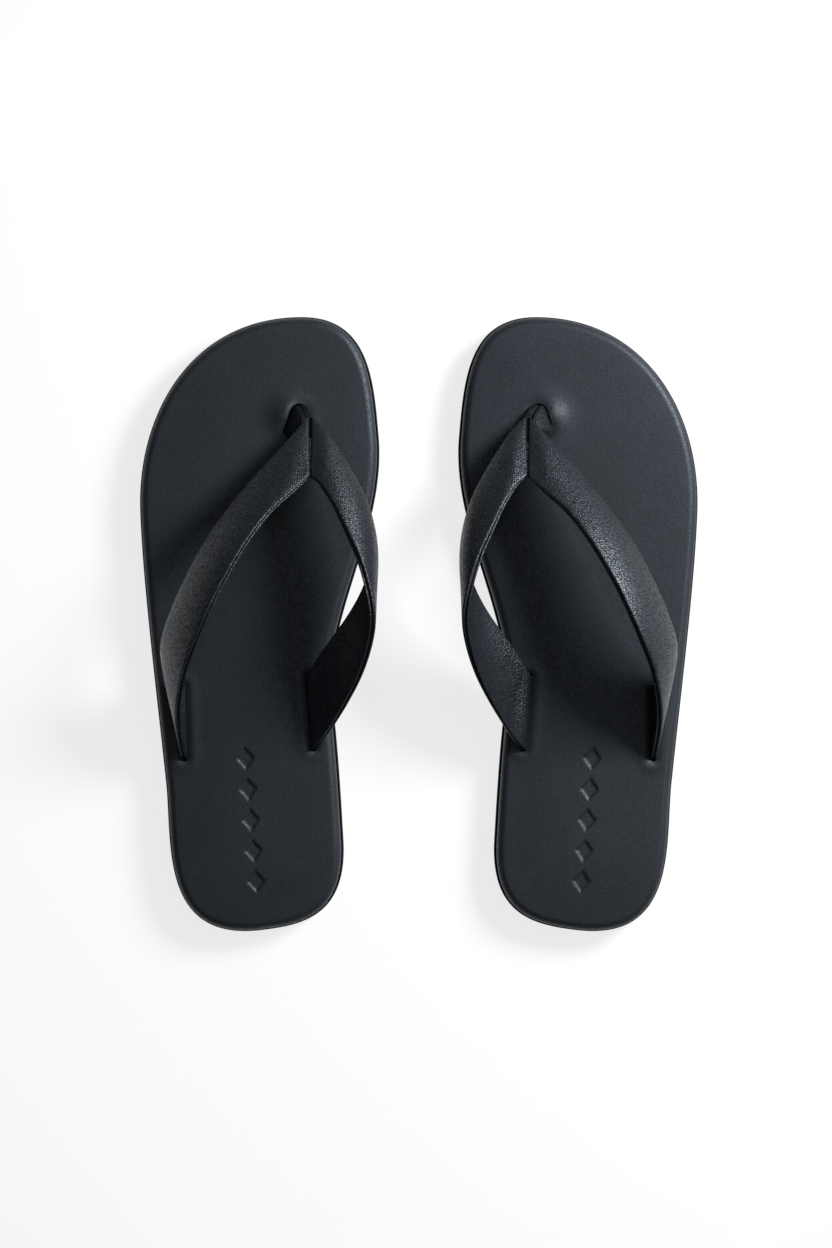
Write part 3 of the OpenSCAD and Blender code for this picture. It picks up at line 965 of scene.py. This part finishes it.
def make_seam_thread():
    """The stitches that close the seam, across its two flaps."""
    ends = [
        sum(np.array(strap[edge][0], float) for strap in STRAPS.values()) / 2 + (0, 0, Z_TOP)
        for edge in ("front", "rear")
    ]
    along = unit(ends[1] - ends[0])
    down = unit(np.cross(along, (1, 0, 0)))
    down = down if down[2] < 0 else -down
    turn = np.linspace(0, 2 * math.pi, 12, endpoint=False)[:, None]
    circle = STITCH_R * (np.cos(turn) * along + np.sin(turn) * down)
    shell = Shell()
    for index in range(STITCHES):
        centre = ends[0] + (index + 0.5) / STITCHES * (ends[1] - ends[0]) + STITCH_DEPTH * down
        loops = []
        for share in np.linspace(-1, 1, 13):
            size = math.sqrt(max(1 - abs(share) ** 6, 0.02))
            loops.append(centre + (share * STITCH_HALF_L, 0, 0) + size * circle)
        shell.band(loops)
    pair("seam_thread", shell, MATERIALS["thread"], ["seam_stitches"], STRAP_BEND)


# ---------------------------------------------------------------- the toe post


def post_loop(row):
    """One loop round the wrapped post, with soft wrinkles above the footbed."""
    x, y, half_l, half_w, height, rise, slant = row
    turn = np.linspace(0, 2 * math.pi, POST_POINTS, endpoint=False)
    wrinkle = POST_WRINKLE_H * np.sin(POST_WRINKLES * turn + height) * smooth(height / 2)
    cos, sin = np.cos(turn), np.sin(turn)
    flat_sided = np.sign(sin) * np.abs(sin) ** 0.8
    along = (half_l + wrinkle) * flat_sided
    across = x + (half_w + wrinkle) * cos - slant * along
    return np.column_stack([across, y + along, Z_TOP + height - rise * along])


def rolled_edge(shell, points):
    """A round bead along the points, which thins out at both ends."""
    last = len(points) - 1
    turn = np.linspace(0, 2 * math.pi, 12, endpoint=False)[:, None]
    loops = []
    for u in np.linspace(0, last, last * 8 + 1):
        onward = unit(through(points, min(u + 0.02, last)) - through(points, max(u - 0.02, 0)))
        side = unit(np.cross(onward, (0, 0, 1)))
        radius = TONGUE_ROLL_R * math.sqrt(max(1 - (2 * u / last - 1) ** 4, 0.02))
        circle = np.cos(turn) * side + np.sin(turn) * np.cross(side, onward)
        loops.append(through(points, u) + radius * circle)
    shell.band(loops)


def make_toe_post():
    """The leather round the toe post, with its tongue. The cord and anchor stay as CAD nodes."""
    shell = Shell()
    last = len(POST_SECTIONS) - 1
    rows = [through(POST_SECTIONS, u) for u in np.linspace(0, last, last * POST_STEPS + 1)]
    loops = [post_loop(row) for row in rows]
    shell.wall(loops)
    fan = [(i, (i + 1) % POST_POINTS, POST_POINTS) for i in range(POST_POINTS)]
    for loop in (loops[0], loops[-1]):
        shell.add(np.vstack([loop, loop.mean(axis=0)]), fan)
    inner, outer = (
        np.array(edge, float) + (0, 0, Z_TOP) for edge in (TONGUE_INNER, TONGUE_OUTER)
    )
    last = len(inner) - 1
    shell.band([
        edge_station(inner, outer, 1, u, TONGUE_CROWN).loop(0, TONGUE_T, 0)
        for u in np.linspace(0, last, last * TONGUE_STEPS + 1)
    ])
    rolled_edge(shell, inner)
    pair("toe_post_leather", shell, MATERIALS["post_leather"], ["toe_post_wrap"])


def finish_cad_nodes():
    """Materials for the hidden CAD nodes that stay."""
    finishes = {
        "strap_tacks": "steel", "toe_post_core": "cord", "toe_post_anchor": "anchor_plastic",
    }
    for shoe in SIDES:
        for node, finish in finishes.items():
            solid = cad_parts[f"{shoe}_{node}"]
            for slot in solid.material_slots:
                slot.material = MATERIALS[finish]


# ---------------------------------------------------------------- the studio


def make_camera():
    """Straight above the pair, with the toes at the top of the picture. The picture shows
    view_height at view_level above the ground. In metres, as all of the studio."""
    height, view_height, view_level = 1.6, 0.5276, 0.006
    data = bpy.data.cameras.new("camera")
    data.sensor_width = 36
    data.lens = data.sensor_width * (height - view_level) / view_height
    camera = bpy.data.objects.new("camera", data)
    camera.location = (-0.0012, 0, height)
    bpy.context.scene.collection.objects.link(camera)
    bpy.context.scene.camera = camera


def make_floor():
    """White paper that glows a little round the pair, so that it looks white from above."""
    half = 4.0
    mesh = bpy.data.meshes.new("studio_floor")
    corners = [(-half, -half, 0), (half, -half, 0), (half, half, 0), (-half, half, 0)]
    mesh.from_pydata(corners, [], [(0, 1, 2, 3)])
    paper = Material("paper", roughness=0.9, specular_ior_level=0.1)
    paper.set("Base Color", (0.2, 0.2, 0.2, 1))
    paper.set("Emission Color", (1, 1, 1, 1))
    away = paper.add("ShaderNodeVectorMath", {0: paper.place}, operation="LENGTH").outputs["Value"]
    paper.set("Emission Strength", paper.spread(away, 0.785, 0.45, start=0.30, end=0.60))
    mesh.materials.append(paper.material)
    floor = bpy.data.objects.new("studio_floor", mesh)
    bpy.context.scene.collection.objects.link(floor)


def area_light(name, location, size, power):
    """A square soft light that faces the pair."""
    data = bpy.data.lights.new(name, "AREA")
    data.shape = "SQUARE"
    data.size = size
    data.energy = power
    light = bpy.data.objects.new(name, data)
    light.location = location
    light.rotation_euler = (-Vector(location)).to_track_quat("-Z", "Y").to_euler()
    bpy.context.scene.collection.objects.link(light)


def make_studio():
    make_camera()
    make_floor()
    area_light("key", (0.62, 0.40, 0.52), 0.30, 16)
    area_light("top", (0.3, 0.3, 2.3), 1.4, 5)
    world = bpy.data.worlds.new("studio")
    world.use_nodes = True
    sky = world.node_tree.nodes["Background"]
    sky.inputs["Color"].default_value = (0.95, 0.97, 1.0, 1)
    sky.inputs["Strength"].default_value = 0.10
    bpy.context.scene.world = world
    bpy.context.scene.view_settings.view_transform = "Standard"


make_studio()
net = footbed_net()
make_cover(net)
make_pad(net)
make_board()
make_midsole()
make_outsole()
for name in STRAPS:
    make_strap(name)
make_seam_thread()
make_toe_post()
finish_cad_nodes()
